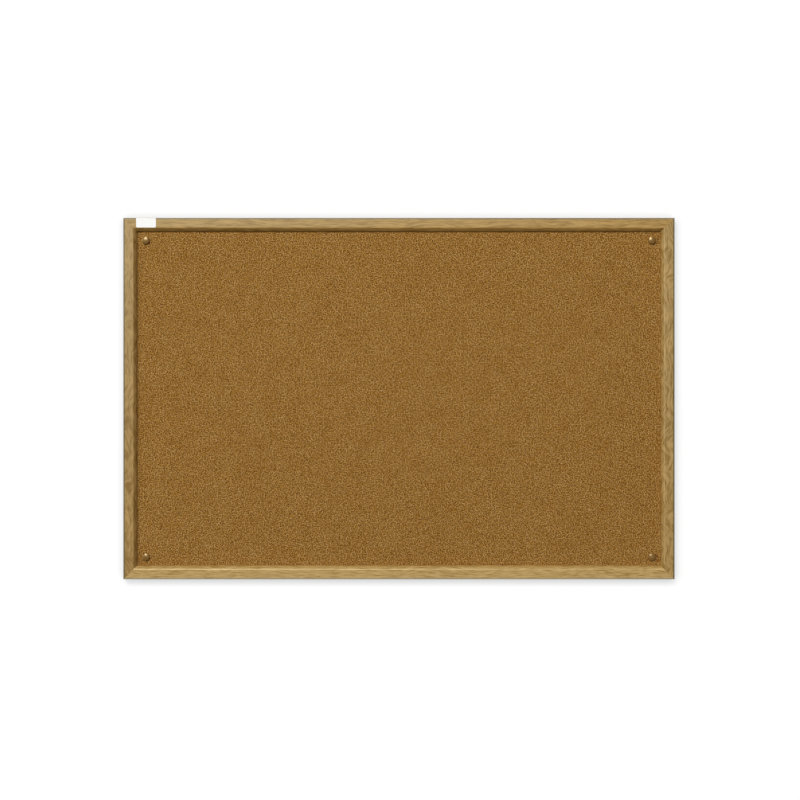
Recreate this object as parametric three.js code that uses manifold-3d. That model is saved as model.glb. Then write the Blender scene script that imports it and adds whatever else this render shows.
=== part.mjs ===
// A framed cork board, 900 x 590 mm, hung flat on a wall by four capped screws.
// Millimetres, +Z up. The board faces -Y, its back lies in the plane Y = 0, and the origin is the middle of the back.
// "Depth" below is the distance forward from that plane, so a point at depth d has Y = -d.

import * as THREE from 'three';
import { mergeVertices } from 'three/addons/utils/BufferGeometryUtils.js';
import Module from 'manifold-3d';

const wasm = await Module();
wasm.setup();

// Board and frame
const boardWidth = 900;
const boardHeight = 590;
const faceWidth = 22; // the frame seen from the front, from its outer edge to the cork
const rebateWidth = 7; // how far the panel runs in under the lip
const shoulderWidth = 5; // the sloping inner part of the face, to its unrounded corner
const shoulderDrop = 5.5; // how far that slope falls back towards the cork
const noseHeight = 3.3; // the steep inner edge of the lip, next to the cork
const arrisRadius = 1.8;
const shoulderRadius = 4;
const noseRadius = 8;
const mitreGap = 0.2; // the hairline that shows at each corner of the frame

// Panel
const corkThickness = 2;
const coreThickness = 7;
const hardboardThickness = 2.4;
const glueLine = 0.1;
const panelClearance = 0.5; // between the panel's edge and the rebate
const lipClearance = 0.1; // between the cork and the underside of the lip

// Wall screws
const fixingFromSight = 14; // from the inner edge of the frame to the middle of a screw
const headDiameter = 8;
const headSink = 0.1; // the head lies this far below the front of its cup
const headRim = 0.25; // the straight edge of the head, over its cone
const threadDiameter = 4;
const shankDiameter = 2.8;
const screwLength = 40;
const plainLength = 13; // from the front of the head to the first turn of the thread
const pointLength = 5;
const threadPitch = 2;
const threadFoot = 1.2; // the foot of the thread's ridge, measured along the screw
const recessSpan = 4.4; // the cross in the head, from tip to tip
const recessSlot = 1.1;
const recessDepth = 1.5;

// Cups under the screw heads
const screwClearance = 0.3;
const seatClearance = 0.15;
const cupRimWall = 0.85; // the ring of plastic round the screw head
const cupHeight = 1.8;
const cupChamfer = 0.3;
const neckWall = 1;
const neckLength = 3;
const cupSeatGap = 0.05; // between the cup's flange and the cork
const holeClearance = 0.3;

// Caps
const capWall = 1.1;
const capClearance = 0.15;
const capHeadroom = 1.5; // the free height over the cup
const capRimGap = 0.2; // between the cap's rim and the cork
const capEdgeRadius = 1.3;
const capCrownRise = 0.8;

// Corner nails and staples
const nailThickness = 0.6;
const nailLength = 10;
const nailSink = 0.3;
const stapleCrown = 10;
const stapleWire = 0.6;
const stapleBreadth = 1.2;
const stapleSink = 0.1;
const stapleCover = 1.5; // the core that is left in front of a staple's points
const pocketClearance = 0.3;

// Label
const labelFromSide = 21;
const labelWidth = 32.3;
const labelReach = 15.8; // from the outer edge of the frame to the label's lower edge
const labelThickness = 0.15;
const labelGap = 0.05;
const labelCorner = 2;

// Shares of the sizes that they follow
const nailPlaceShares = [0.3, 0.7]; // of the wood behind the lip, from the outer corner
const nailHalfSpanShare = 0.19; // of the same width
const nailRiseShare = 0.11; // of the same width
const labelWrapShare = 0.5; // of the rounded arris
const threadSeatShare = 0.7; // of the shank's radius, where the ridge is rooted

// Counts
const staplesOnRail = 4;
const staplesOnStile = 3;
const arcSteps = 3;
const mouldingSteps = 5; // in each rounded corner of the frame's section
const holeSteps = 8;
const roundSteps = 24;
const headSteps = 16;
const threadSteps = 8;

// Every cut runs past the face that it opens by this much
const overrun = 1;

// Depths and radii that follow
const backWidth = faceWidth - rebateWidth;
const coreBack = hardboardThickness + glueLine;
const coreFront = coreBack + coreThickness;
const corkBack = coreFront + glueLine;
const corkFront = corkBack + corkThickness;
const lipBack = corkFront + lipClearance;
const frameDepth = lipBack + noseHeight + shoulderDrop;
const fixingX = boardWidth / 2 - faceWidth - fixingFromSight;
const fixingZ = boardHeight / 2 - faceWidth - fixingFromSight;
const seatRadius = headDiameter / 2 + seatClearance;
const cupRadius = seatRadius + cupRimWall;
const boreRadius = threadDiameter / 2 + screwClearance;
const neckRadius = boreRadius + neckWall;
const panelHoleRadius = neckRadius + holeClearance;
const cupBack = corkFront + cupSeatGap;
const cupFront = cupBack + cupHeight;
const capInnerRadius = cupRadius + capClearance;
const capRadius = capInnerRadius + capWall;
const capRim = corkFront + capRimGap;
const capCeiling = cupFront + capHeadroom;
const capShoulder = capCeiling + capWall;
const stapleLeg = coreFront - stapleCover - stapleSink;
const seamMiddle = backWidth + panelClearance / 2;

const finishes = {
  rail: { color: '#ae9160', roughness: 0.45, metalness: 0 },
  stile: { color: '#a28452', roughness: 0.45, metalness: 0 },
  cork: { color: '#8d6633', roughness: 0.95, metalness: 0 },
  core: { color: '#9a8768', roughness: 1, metalness: 0 },
  hardboard: { color: '#6b4a2e', roughness: 0.7, metalness: 0 },
  steel: { color: '#b9bcc0', roughness: 0.35, metalness: 1 },
  plastic: { color: '#9c7a4c', roughness: 0.4, metalness: 0 },
  paper: { color: '#eeeeea', roughness: 0.6, metalness: 0 },
};

function piece(name, geometry, finish) {
  const mesh = new THREE.Mesh(geometry, new THREE.MeshStandardMaterial(finishes[finish]));
  mesh.name = name;
  return mesh;
}

// A geometry as a solid, without the flat triangles that a turned shape has on its axis
function toSolid(geometry) {
  const bare = geometry.clone();
  bare.deleteAttribute('normal');
  bare.deleteAttribute('uv');
  const merged = mergeVertices(bare);
  const corners = merged.index.array;
  const kept = [];
  for (let i = 0; i < corners.length; i += 3) {
    const [a, b, c] = corners.slice(i, i + 3);
    if (a !== b && b !== c && c !== a) kept.push(a, b, c);
  }
  const vertProperties = new Float32Array(merged.attributes.position.array);
  return new wasm.Manifold(new wasm.Mesh({ numProp: 3, vertProperties, triVerts: new Uint32Array(kept) }));
}

function toGeometry(solid) {
  const mesh = solid.getMesh();
  const geometry = new THREE.BufferGeometry();
  geometry.setAttribute('position', new THREE.BufferAttribute(mesh.vertProperties, 3));
  geometry.setIndex(new THREE.BufferAttribute(mesh.triVerts, 1));
  geometry.computeVertexNormals();
  return geometry;
}

// Cuts a pocket out of the host for each piece that is seated in it
function carve(host, seated, pocket) {
  const intoHost = host.matrixWorld.clone().invert();
  let solid = toSolid(host.geometry);
  for (const guest of seated) {
    const tool = pocket.clone().applyMatrix4(guest.matrixWorld).applyMatrix4(intoHost);
    solid = solid.subtract(toSolid(tool));
  }
  host.geometry = toGeometry(solid);
}

// A closed outline, anticlockwise, of corners [x, y] or, where the corner is rounded, [x, y, radius]
function roundedShape(corners) {
  const shape = new THREE.Shape();
  corners.forEach(([x, y, radius = 0], i) => {
    const corner = new THREE.Vector2(x, y);
    const toward = ([nextX, nextY]) => new THREE.Vector2(nextX, nextY).sub(corner).normalize();
    const before = toward(corners.at(i - 1));
    const after = toward(corners[(i + 1) % corners.length]);
    const half = before.angleTo(after) / 2;
    const tangent = radius / Math.tan(half);
    const start = corner.clone().addScaledVector(before, tangent);
    if (i === 0) shape.moveTo(start.x, start.y);
    else shape.lineTo(start.x, start.y);
    if (radius > 0) {
      const middle = before.clone().add(after).normalize();
      const centre = corner.clone().addScaledVector(middle, radius / Math.sin(half));
      const end = corner.clone().addScaledVector(after, tangent);
      const from = start.sub(centre).angle();
      const to = end.sub(centre).angle();
      shape.absarc(centre.x, centre.y, radius, from, to, false);
    }
  });
  shape.closePath();
  return shape;
}

// A plate whose outline lies in X and Z, from one depth to another
function plate(shape, back, front, curveSegments = arcSteps) {
  const geometry = new THREE.ExtrudeGeometry(shape, { depth: front - back, bevelEnabled: false, curveSegments });
  geometry.rotateX(Math.PI / 2);
  geometry.translate(0, -back, 0);
  return geometry;
}

// A bar along X, centred, whose outline is given as [distance inward from the frame's edge, depth]; inward is -Z
function bar(shape, length, curveSegments = arcSteps) {
  const geometry = new THREE.ExtrudeGeometry(shape, { depth: length, bevelEnabled: false, curveSegments });
  geometry.translate(0, 0, -length / 2);
  const inward = new THREE.Vector3(0, 0, -1);
  const forward = new THREE.Vector3(0, -1, 0);
  const along = new THREE.Vector3(-1, 0, 0);
  geometry.applyMatrix4(new THREE.Matrix4().makeBasis(inward, forward, along));
  return geometry;
}

// A piece turned about Y, whose profile is a path of [radius, depth]
function turned(path, steps) {
  const geometry = new THREE.LatheGeometry(path.getPoints(arcSteps), steps);
  geometry.rotateX(Math.PI);
  return geometry;
}

// Rails and stiles

function frameSection() {
  return roundedShape([
    [0, 0],
    [backWidth, 0],
    [backWidth, lipBack],
    [faceWidth, lipBack],
    [faceWidth, lipBack + noseHeight, noseRadius],
    [faceWidth - shoulderWidth, frameDepth, shoulderRadius],
    [0, frameDepth, arrisRadius],
  ]);
}

// A bar of the frame's section with both ends mitred
function mitredBar(length) {
  const geometry = bar(frameSection(), length, mouldingSteps);
  const points = geometry.attributes.position;
  for (let i = 0; i < points.count; i += 1) {
    const inward = -points.getZ(i);
    const cutLength = length - 2 * inward - mitreGap * Math.SQRT2;
    points.setX(i, points.getX(i) * cutLength / length);
  }
  return geometry;
}

// Panel

function panelLayer(back, front) {
  const halfWidth = boardWidth / 2 - backWidth - panelClearance;
  const halfHeight = boardHeight / 2 - backWidth - panelClearance;
  const shape = roundedShape([
    [-halfWidth, -halfHeight],
    [halfWidth, -halfHeight],
    [halfWidth, halfHeight],
    [-halfWidth, halfHeight],
  ]);
  for (const side of [-1, 1]) {
    for (const level of [-1, 1]) {
      const hole = new THREE.Path();
      hole.absarc(side * fixingX, level * fixingZ, panelHoleRadius, 0, 2 * Math.PI, true);
      shape.holes.push(hole);
    }
  }
  return plate(shape, back, front, holeSteps);
}

// Corner nails: a V of sheet steel across the mitre, or its pocket when it is grown by a clearance

function nail(grow) {
  const slope = nailRiseShare / nailHalfSpanShare;
  const slant = Math.hypot(1, slope);
  const halfSpan = backWidth * nailHalfSpanShare + grow;
  const foot = -slope * halfSpan;
  const outer = grow * slant;
  const inner = -(nailThickness + grow) * slant;
  const shape = roundedShape([
    [-halfSpan, foot + inner],
    [0, inner],
    [halfSpan, foot + inner],
    [halfSpan, foot + outer],
    [0, outer],
    [-halfSpan, foot + outer],
  ]);
  const back = grow > 0 ? -overrun : nailSink;
  return plate(shape, back, nailSink + nailLength + grow);
}

// Staples: across the seam between frame and panel, or the pocket when grown by a clearance

function staple(grow) {
  const outer = stapleCrown / 2 + grow;
  const inner = stapleCrown / 2 - stapleWire - grow;
  const back = grow > 0 ? -overrun : stapleSink;
  const crownFront = stapleSink + stapleWire + grow;
  const point = stapleSink + stapleLeg + grow;
  const shape = roundedShape([
    [-outer, back],
    [outer, back],
    [outer, point],
    [inner, point],
    [inner, crownFront],
    [-inner, crownFront],
    [-inner, point],
    [-outer, point],
  ]);
  return bar(shape, stapleBreadth + 2 * grow);
}

// Wall screws

// The thread's ridge, three points at each step: two feet inside the shank and the crest
function threadRidge(start, tip) {
  const turns = (start - tip - threadPitch) / threadPitch;
  const steps = Math.round(turns * threadSteps);
  const rootRadius = shankDiameter / 2 * threadSeatShare;
  const places = [];
  for (let i = 0; i <= steps; i += 1) {
    const angle = 2 * Math.PI * i / threadSteps;
    const depth = start - threadPitch * i / threadSteps;
    const taper = Math.min(1, (depth - tip) / pointLength);
    const rising = Math.min(1, i / threadSteps);
    const crestRadius = (rootRadius + (threadDiameter / 2 - rootRadius) * rising) * taper;
    const corners = [
      [rootRadius * taper, depth + threadFoot / 2],
      [crestRadius, depth],
      [rootRadius * taper, depth - threadFoot / 2],
    ];
    for (const [radius, level] of corners) {
      places.push(radius * Math.cos(angle), -level, radius * Math.sin(angle));
    }
  }
  const faces = [0, 2, 1];
  for (let i = 0; i < steps; i += 1) {
    for (let side = 0; side < 3; side += 1) {
      const a = 3 * i + side;
      const b = 3 * i + (side + 1) % 3;
      faces.push(a, b, a + 3, b, b + 3, a + 3);
    }
  }
  const last = 3 * steps;
  faces.push(last, last + 1, last + 2);
  const geometry = new THREE.BufferGeometry();
  geometry.setAttribute('position', new THREE.Float32BufferAttribute(places, 3));
  geometry.setIndex(faces);
  return geometry;
}

function screw() {
  const headRadius = headDiameter / 2;
  const shankRadius = shankDiameter / 2;
  const front = cupFront - headSink;
  const coneBack = front - headRim - (headRadius - shankRadius);
  const tip = front - screwLength;
  const head = new THREE.Path();
  head.moveTo(0, coneBack);
  head.lineTo(shankRadius, coneBack);
  head.lineTo(headRadius, front - headRim);
  head.lineTo(headRadius, front);
  head.lineTo(0, front);
  const shank = new THREE.Path();
  shank.moveTo(0, tip);
  shank.lineTo(shankRadius, tip + pointLength);
  shank.lineTo(shankRadius, front - headRim);
  shank.lineTo(0, front - headRim);
  let solid = toSolid(turned(head, headSteps)).add(toSolid(turned(shank, threadSteps)));
  solid = solid.add(toSolid(threadRidge(front - plainLength, tip)));
  for (const [width, height] of [[recessSpan, recessSlot], [recessSlot, recessSpan]]) {
    const slot = new THREE.BoxGeometry(width, recessDepth + overrun, height);
    slot.translate(0, -(front - recessDepth / 2 + overrun / 2), 0);
    solid = solid.subtract(toSolid(slot));
  }
  return toGeometry(solid);
}

// Cups: a flange on the cork, a cone for the screw head and a neck in the panel's hole

function cup() {
  const seatFront = cupFront - headSink - headRim;
  const seatBack = seatFront - (seatRadius - boreRadius);
  const path = new THREE.Path();
  path.moveTo(boreRadius, cupBack - neckLength);
  path.lineTo(neckRadius, cupBack - neckLength);
  path.lineTo(neckRadius, cupBack);
  path.lineTo(cupRadius, cupBack);
  path.lineTo(cupRadius, cupFront - cupChamfer);
  path.lineTo(cupRadius - cupChamfer, cupFront);
  path.lineTo(seatRadius, cupFront);
  path.lineTo(seatRadius, seatFront);
  path.lineTo(boreRadius, seatBack);
  path.lineTo(boreRadius, cupBack - neckLength);
  return turned(path, roundSteps);
}

// Caps: a hollow button with a rounded edge and a slightly crowned face

function cap() {
  const innerEdge = capEdgeRadius - capWall;
  const edgeCentre = capRadius - capEdgeRadius;
  const edgeDepth = capShoulder - capEdgeRadius;
  const path = new THREE.Path();
  path.moveTo(capInnerRadius, capRim);
  path.lineTo(capRadius, capRim);
  path.lineTo(capRadius, edgeDepth);
  path.absarc(edgeCentre, edgeDepth, capEdgeRadius, 0, Math.PI / 2, false);
  path.quadraticCurveTo(edgeCentre / 2, capShoulder + capCrownRise, 0, capShoulder + capCrownRise);
  path.lineTo(0, capCeiling);
  path.lineTo(edgeCentre, capCeiling);
  path.absarc(edgeCentre, edgeDepth, innerEdge, Math.PI / 2, 0, true);
  path.lineTo(capInnerRadius, capRim);
  return turned(path, roundSteps);
}

// Label: a thin sheet that lies on the flat of the top rail and round part of its arris

function label() {
  const innerRadius = arrisRadius + labelGap;
  const outerRadius = innerRadius + labelThickness;
  const centreDepth = frameDepth - arrisRadius;
  const wrapped = Math.PI / 2 * (1 + labelWrapShare);
  const band = new THREE.Shape();
  band.absarc(arrisRadius, centreDepth, innerRadius, Math.PI / 2, wrapped, false);
  band.absarc(arrisRadius, centreDepth, outerRadius, wrapped, Math.PI / 2, true);
  band.lineTo(labelReach, centreDepth + outerRadius);
  band.lineTo(labelReach, centreDepth + innerRadius);
  band.closePath();
  const side = labelWidth / 2;
  const outline = roundedShape([
    [-side, -labelReach, labelCorner],
    [side, -labelReach, labelCorner],
    [side, overrun],
    [-side, overrun],
  ]);
  const trimmed = toSolid(bar(band, labelWidth)).intersect(toSolid(plate(outline, 0, frameDepth + overrun)));
  return toGeometry(trimmed);
}

// Assembly

const board = new THREE.Group();

const sides = [
  { name: 'top_rail', turn: 0, length: boardWidth, reach: boardHeight / 2, staples: staplesOnRail, finish: 'rail' },
  { name: 'right_stile', turn: 1, length: boardHeight, reach: boardWidth / 2, staples: staplesOnStile, finish: 'stile' },
  { name: 'bottom_rail', turn: 2, length: boardWidth, reach: boardHeight / 2, staples: staplesOnRail, finish: 'rail' },
  { name: 'left_stile', turn: 3, length: boardHeight, reach: boardWidth / 2, staples: staplesOnStile, finish: 'stile' },
];

const members = [];
const staples = [];
for (const { name, turn, length, reach, staples: count, finish } of sides) {
  const side = new THREE.Group();
  side.rotation.y = turn * Math.PI / 2;
  side.position.set(reach * Math.sin(side.rotation.y), 0, reach * Math.cos(side.rotation.y));
  const member = piece(name, mitredBar(length), finish);
  side.add(member);
  members.push(member);
  for (let i = 0; i < count; i += 1) {
    const held = piece(`${name}_staple_${i + 1}`, staple(0), 'steel');
    held.position.set((i - (count - 1) / 2) * length / count, 0, -seamMiddle);
    side.add(held);
    staples.push(held);
  }
  board.add(side);
}

const corkSheet = piece('cork_sheet', panelLayer(corkBack, corkFront), 'cork');
const fibreCore = piece('fibre_core', panelLayer(coreBack, coreFront), 'core');
const hardboardBack = piece('hardboard_back', panelLayer(0, hardboardThickness), 'hardboard');
board.add(corkSheet, fibreCore, hardboardBack);

const nails = [];
for (const level of [1, -1]) {
  for (const hand of [-1, 1]) {
    const place = `${level > 0 ? 'top' : 'bottom'}_${hand < 0 ? 'left' : 'right'}`;
    const corner = new THREE.Group();
    corner.position.set(hand * boardWidth / 2, 0, level * boardHeight / 2);
    corner.rotation.y = Math.atan2(hand, level);
    nailPlaceShares.forEach((share, i) => {
      const driven = piece(`corner_nail_${place}_${i + 1}`, nail(0), 'steel');
      driven.position.z = -backWidth * share * Math.SQRT2;
      corner.add(driven);
      nails.push(driven);
    });
    const fixing = new THREE.Group();
    fixing.position.set(hand * fixingX, 0, level * fixingZ);
    fixing.add(piece(`wall_screw_${place}`, screw(), 'steel'));
    fixing.add(piece(`cap_base_${place}`, cup(), 'plastic'));
    fixing.add(piece(`screw_cap_${place}`, cap(), 'plastic'));
    board.add(corner, fixing);
  }
}

const sticker = piece('label', label(), 'paper');
sticker.position.set(labelFromSide + labelWidth / 2 - boardWidth / 2, 0, boardHeight / 2);
board.add(sticker);

board.updateMatrixWorld(true);
for (const member of members) {
  carve(member, nails, nail(pocketClearance));
  carve(member, staples, staple(pocketClearance));
}
carve(fibreCore, staples, staple(pocketClearance));
carve(hardboardBack, staples, staple(pocketClearance));

export default board;
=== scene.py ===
"""The cork board as it looks: an oak-look frame, ground cork, capped wall screws and the fixings behind.

The board faces -Y. Its back lies in the plane Y = 0 on the wall, and the origin is the middle of the
back. "Depth" is the distance forward from that plane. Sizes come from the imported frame, in metres.
"""

from __future__ import annotations

import logging
import math
from dataclasses import dataclass
from enum import Enum
from typing import Any, Iterable

import bmesh
import bpy
from bmesh.types import BMEdge, BMFace, BMVert, BMesh
from bpy.types import Light, Material, Node, NodeSocket, NodeTree, Object
from mathutils import Matrix, Vector


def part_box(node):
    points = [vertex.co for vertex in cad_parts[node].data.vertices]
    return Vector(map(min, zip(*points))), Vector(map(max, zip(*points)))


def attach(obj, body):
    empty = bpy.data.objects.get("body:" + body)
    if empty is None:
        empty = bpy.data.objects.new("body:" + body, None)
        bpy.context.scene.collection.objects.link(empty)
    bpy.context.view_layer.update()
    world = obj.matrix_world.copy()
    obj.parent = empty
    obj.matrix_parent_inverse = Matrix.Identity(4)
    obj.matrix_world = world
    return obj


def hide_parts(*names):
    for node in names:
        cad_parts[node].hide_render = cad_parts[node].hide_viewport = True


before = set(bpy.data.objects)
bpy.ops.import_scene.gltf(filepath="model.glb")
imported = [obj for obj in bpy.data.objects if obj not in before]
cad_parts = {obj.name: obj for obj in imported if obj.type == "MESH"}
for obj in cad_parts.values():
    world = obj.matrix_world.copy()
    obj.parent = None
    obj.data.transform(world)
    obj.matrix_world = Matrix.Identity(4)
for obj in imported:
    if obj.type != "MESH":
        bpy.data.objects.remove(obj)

LOG = logging.getLogger("cork_board")
MM = 0.001
FORWARD = Vector((0, -1, 0))
# Most values of a noise texture lie between these two.
NOISE_LOW = 0.3
NOISE_HIGH = 0.7
# Faces that meet at more than this angle, in degrees, keep a sharp edge between them.
SHARP_TURN = 35

Colour = tuple[float, float, float, float]


class Slot(Enum):
    """The record's material slots."""

    OAK_FOIL = "oak_foil"
    CORK = "cork"
    SOFTBOARD = "softboard"
    HARDBOARD = "hardboard"
    ZINC_STEEL = "zinc_steel"
    TAN_PLASTIC = "tan_plastic"
    LABEL_PAPER = "label_paper"


@dataclass(frozen=True)
class Streaks:
    """How one kind of printed oak grain runs, with every length in millimetres.

    Attributes:
        drift: How far the streaks wander to either side.
        drift_length: Over what length they wander.
        band: Length and width of a broad streak.
        line: Length and width of a fine streak.
        softness: How far the pattern goes from its middle, a value of 0.5, to the print's end colours.
    """

    drift: float
    drift_length: float
    band: tuple[float, float]
    line: tuple[float, float]
    softness: float


class Figure(Enum):
    """The two kinds of grain in the foil: streaks that run nearly straight, and streaks that wander."""

    STRAIGHT = Streaks(drift=4.0, drift_length=90.0, band=(32.0, 2.4), line=(14.0, 1.4), softness=0.125)
    CATHEDRAL = Streaks(drift=9.0, drift_length=42.0, band=(22.0, 4.4), line=(11.0, 2.0), softness=0.115)


def linear(hex_colour: str) -> Colour:
    """Turns an sRGB colour into the linear one that the shaders take.

    Args:
        hex_colour: The colour as #rrggbb.

    Returns:
        Red, green, blue and an alpha of 1.
    """
    shares = [int(hex_colour[i : i + 2], 16) / 255 for i in (1, 3, 5)]
    red, green, blue = (s / 12.92 if s <= 0.04045 else ((s + 0.055) / 1.055) ** 2.4 for s in shares)
    return red, green, blue, 1.0


def add_node(
    tree: NodeTree, kind: str, inputs: dict[Any, Any] | None = None, **settings: Any
) -> Node:
    """Adds a shader node with its settings and links.

    Args:
        tree: The material's or the world's node tree.
        kind: The node's type, without the word ShaderNode.
        inputs: A value or another node's output for each input, by its name or number.
        settings: The node's own settings. stops gives a colour ramp its places and hex colours.

    Returns:
        The new node.
    """
    node = tree.nodes.new(f"ShaderNode{kind}")
    stops = settings.pop("stops", None)
    for name, value in settings.items():
        setattr(node, name, value)
    for key, value in (inputs or {}).items():
        if isinstance(value, NodeSocket):
            tree.links.new(value, node.inputs[key])
        else:
            node.inputs[key].default_value = value
    if stops:
        ramp = node.color_ramp
        while len(ramp.elements) < len(stops):
            ramp.elements.new(0.5)
        for element, (place, colour) in zip(ramp.elements, stops):
            element.position = place
            element.color = linear(colour)
    return node


def new_material(name: str) -> tuple[Material, NodeTree]:
    """Makes an empty node material.

    Args:
        name: The material's name.

    Returns:
        The material and its node tree.
    """
    material = bpy.data.materials.new(name)
    material.use_nodes = True
    material.node_tree.nodes.clear()
    return material, material.node_tree


def finish_surface(tree: NodeTree, inputs: dict[Any, Any]) -> None:
    """Closes a material with the one shader that all its patterns feed.

    Args:
        tree: The material's node tree.
        inputs: Values and links for the Principled shader.
    """
    shader = add_node(tree, "BsdfPrincipled", inputs)
    add_node(tree, "OutputMaterial", {"Surface": shader.outputs[0]})


def in_millimetres(
    tree: NodeTree, sizes: Iterable[float], start: Iterable[float] = (0, 0, 0)
) -> NodeSocket:
    """The piece's own coordinates for a pattern.

    Args:
        tree: The material's node tree.
        sizes: The pattern's size along X, Y and Z, in millimetres.
        start: Where the pattern starts, in its own sizes, so that two patterns don't fall together.

    Returns:
        The coordinates, one unit to each size of the pattern.
    """
    place = add_node(tree, "TexCoord").outputs["Object"]
    scale = [1 / (size * MM) for size in sizes]
    inputs = {"Vector": place, "Location": tuple(start), "Scale": scale}
    return add_node(tree, "Mapping", inputs).outputs[0]


def mottle(tree: NodeTree, size_mm: float, detail: float) -> NodeSocket:
    """Draws soft patches on a piece, in its own coordinates.

    Args:
        tree: The material's node tree.
        size_mm: The size of a patch, in millimetres.
        detail: How many finer layers lie over the patches.

    Returns:
        The pattern, whose values lie round 0.5.
    """
    place = in_millimetres(tree, (size_mm, size_mm, size_mm))
    return add_node(tree, "TexNoise", {"Vector": place, "Scale": 1.0, "Detail": detail}).outputs[0]


@dataclass(frozen=True)
class OakFoil:
    """Decor foil printed with light oak, glued round a fibreboard moulding under a satin lacquer.

    The eye sees straw-brown streaks along the member, a soft sheen, and a greyer line at the outer edge
    that is painted shade.
    Every length here is in millimetres.

    Attributes:
        tone: The print's lightest colour.
        painted_edge_shade: Painted shade on the rounded outer edge, a darker and greyer colour in place
            of the print.
        paler: The share by which the print pales over each metre along the member.
        patch: Which part of the endless pattern the member shows.
        print_light, print_middle, print_dark: What the tone is multiplied by from streak to streak.
        warm_gloss: The tint of the lacquer's sheen.
        drift_width: The width of one wander of the streaks.
        line_share: The share of the fine streaks in the grain. The rest is the broad ones'.
        pore: Length and width of a pore, drawn twice its real width so that it still shows a step away.
        pore_edge: The values of the pattern at which a pore starts, and at which it is darkest.
        pore_shade: The brightness of a pore beside the wood's.
        cloud: Length and width of the broad clouds.
        cloud_swing: How much the clouds lighten and darken the print.
        edge_shade_start: Where the band of painted edge shade starts and is full, before the end of the
            rounded edge.
        edge_shade_end: Where it starts to fade and is gone, counted from the end of the rounded edge.
        roughness: The lacquer's roughness in the dark and in the light streaks.
    """

    name: str
    tone: str
    painted_edge_shade: str
    figure: Figure
    paler: float
    patch: float
    print_light: str = "#ffffff"
    print_middle: str = "#e7e6da"
    print_dark: str = "#c2b37c"
    warm_gloss: Colour = (1.0, 0.95, 0.64, 1.0)
    drift_width: float = 40.0
    line_share: float = 0.48
    pore: tuple[float, float] = (7.0, 0.4)
    pore_edge: tuple[float, float] = (0.58, 0.7)
    pore_shade: float = 0.68
    cloud: tuple[float, float] = (160.0, 60.0)
    cloud_swing: float = 0.03
    edge_shade_start: tuple[float, float] = (3.8, 2.6)
    edge_shade_end: tuple[float, float] = (-1.2, 2.0)
    roughness: tuple[float, float] = (0.35, 0.45)

    def make(self, arris: float) -> Material:
        """Builds the material: broad and fine streaks and pores, which all run along the member.

        Args:
            arris: How far round the section the rounded outer edge ends, in millimetres from the back.

        Returns:
            The material, which reads the UV map "foil" of (along, round the section) in metres.
        """
        material, tree = new_material(self.name)
        run = self.figure.value
        foil = add_node(tree, "UVMap", uv_map="foil")
        sheet = add_node(tree, "Mapping", {"Vector": foil.outputs[0], "Scale": (1 / MM, 1 / MM, 1)})
        along_across = add_node(tree, "SeparateXYZ", {0: sheet.outputs[0]})
        along, across = along_across.outputs[0], along_across.outputs[1]

        def streaks(long: float, wide: float, level: NodeSocket, detail: float) -> NodeSocket:
            """Noise drawn out along the grain, from the sizes of one streak in millimetres."""
            place = add_node(
                tree,
                "CombineXYZ",
                {
                    0: add_node(tree, "Math", {0: along, 1: long}, operation="DIVIDE").outputs[0],
                    1: add_node(tree, "Math", {0: level, 1: wide}, operation="DIVIDE").outputs[0],
                    2: self.patch,
                },
            )
            inputs = {"Vector": place.outputs[0], "Scale": 1.0, "Detail": detail}
            return add_node(tree, "TexNoise", inputs).outputs[0]

        # The drift bends the streaks sideways, as they lie in a board that is cut beside the heart.
        wander = streaks(run.drift_length, self.drift_width, across, 1.0)
        shift = add_node(
            tree, "MapRange", {0: wander, 1: NOISE_LOW, 2: NOISE_HIGH, 3: -run.drift, 4: run.drift}
        ).outputs[0]
        bent = add_node(tree, "Math", {0: across, 1: shift}).outputs[0]
        bands = streaks(*run.band, bent, 2.0)
        lines = streaks(*run.line, bent, 1.0)
        pores = streaks(*self.pore, bent, 1.0)
        clouds = streaks(*self.cloud, across, 1.0)
        mixed = add_node(
            tree, "Mix", {0: self.line_share, 2: bands, 3: lines}, data_type="FLOAT"
        ).outputs[0]
        grain = add_node(
            tree,
            "ValToRGB",
            {0: mixed},
            stops=[
                (0.5 - run.softness, self.print_dark),
                (0.5, self.print_middle),
                (0.5 + run.softness, self.print_light),
            ],
        ).outputs[0]
        grain = add_node(
            tree, "VectorMath", {0: grain, 1: linear(self.tone)[:3]}, operation="MULTIPLY"
        ).outputs[0]
        starts, deepest = self.pore_edge
        pore_mask = add_node(
            tree, "MapRange", {0: pores, 1: starts, 2: deepest, 3: 1.0, 4: self.pore_shade}
        ).outputs[0]
        darker, lighter = 1 - self.cloud_swing, 1 + self.cloud_swing
        cloud_mask = add_node(
            tree, "MapRange", {0: clouds, 1: NOISE_LOW, 2: NOISE_HIGH, 3: darker, 4: lighter}
        ).outputs[0]
        # The distance along the member is in millimetres here, and the paling is given for a metre.
        pales = add_node(
            tree, "Math", {0: along, 1: self.paler / 1000, 2: 1.0}, operation="MULTIPLY_ADD"
        ).outputs[0]
        shade = add_node(tree, "Math", {0: pore_mask, 1: cloud_mask}, operation="MULTIPLY").outputs[0]
        shade = add_node(tree, "Math", {0: shade, 1: pales}, operation="MULTIPLY").outputs[0]
        print_colour = add_node(
            tree, "VectorMath", {0: grain, "Scale": shade}, operation="SCALE"
        ).outputs[0]
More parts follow.
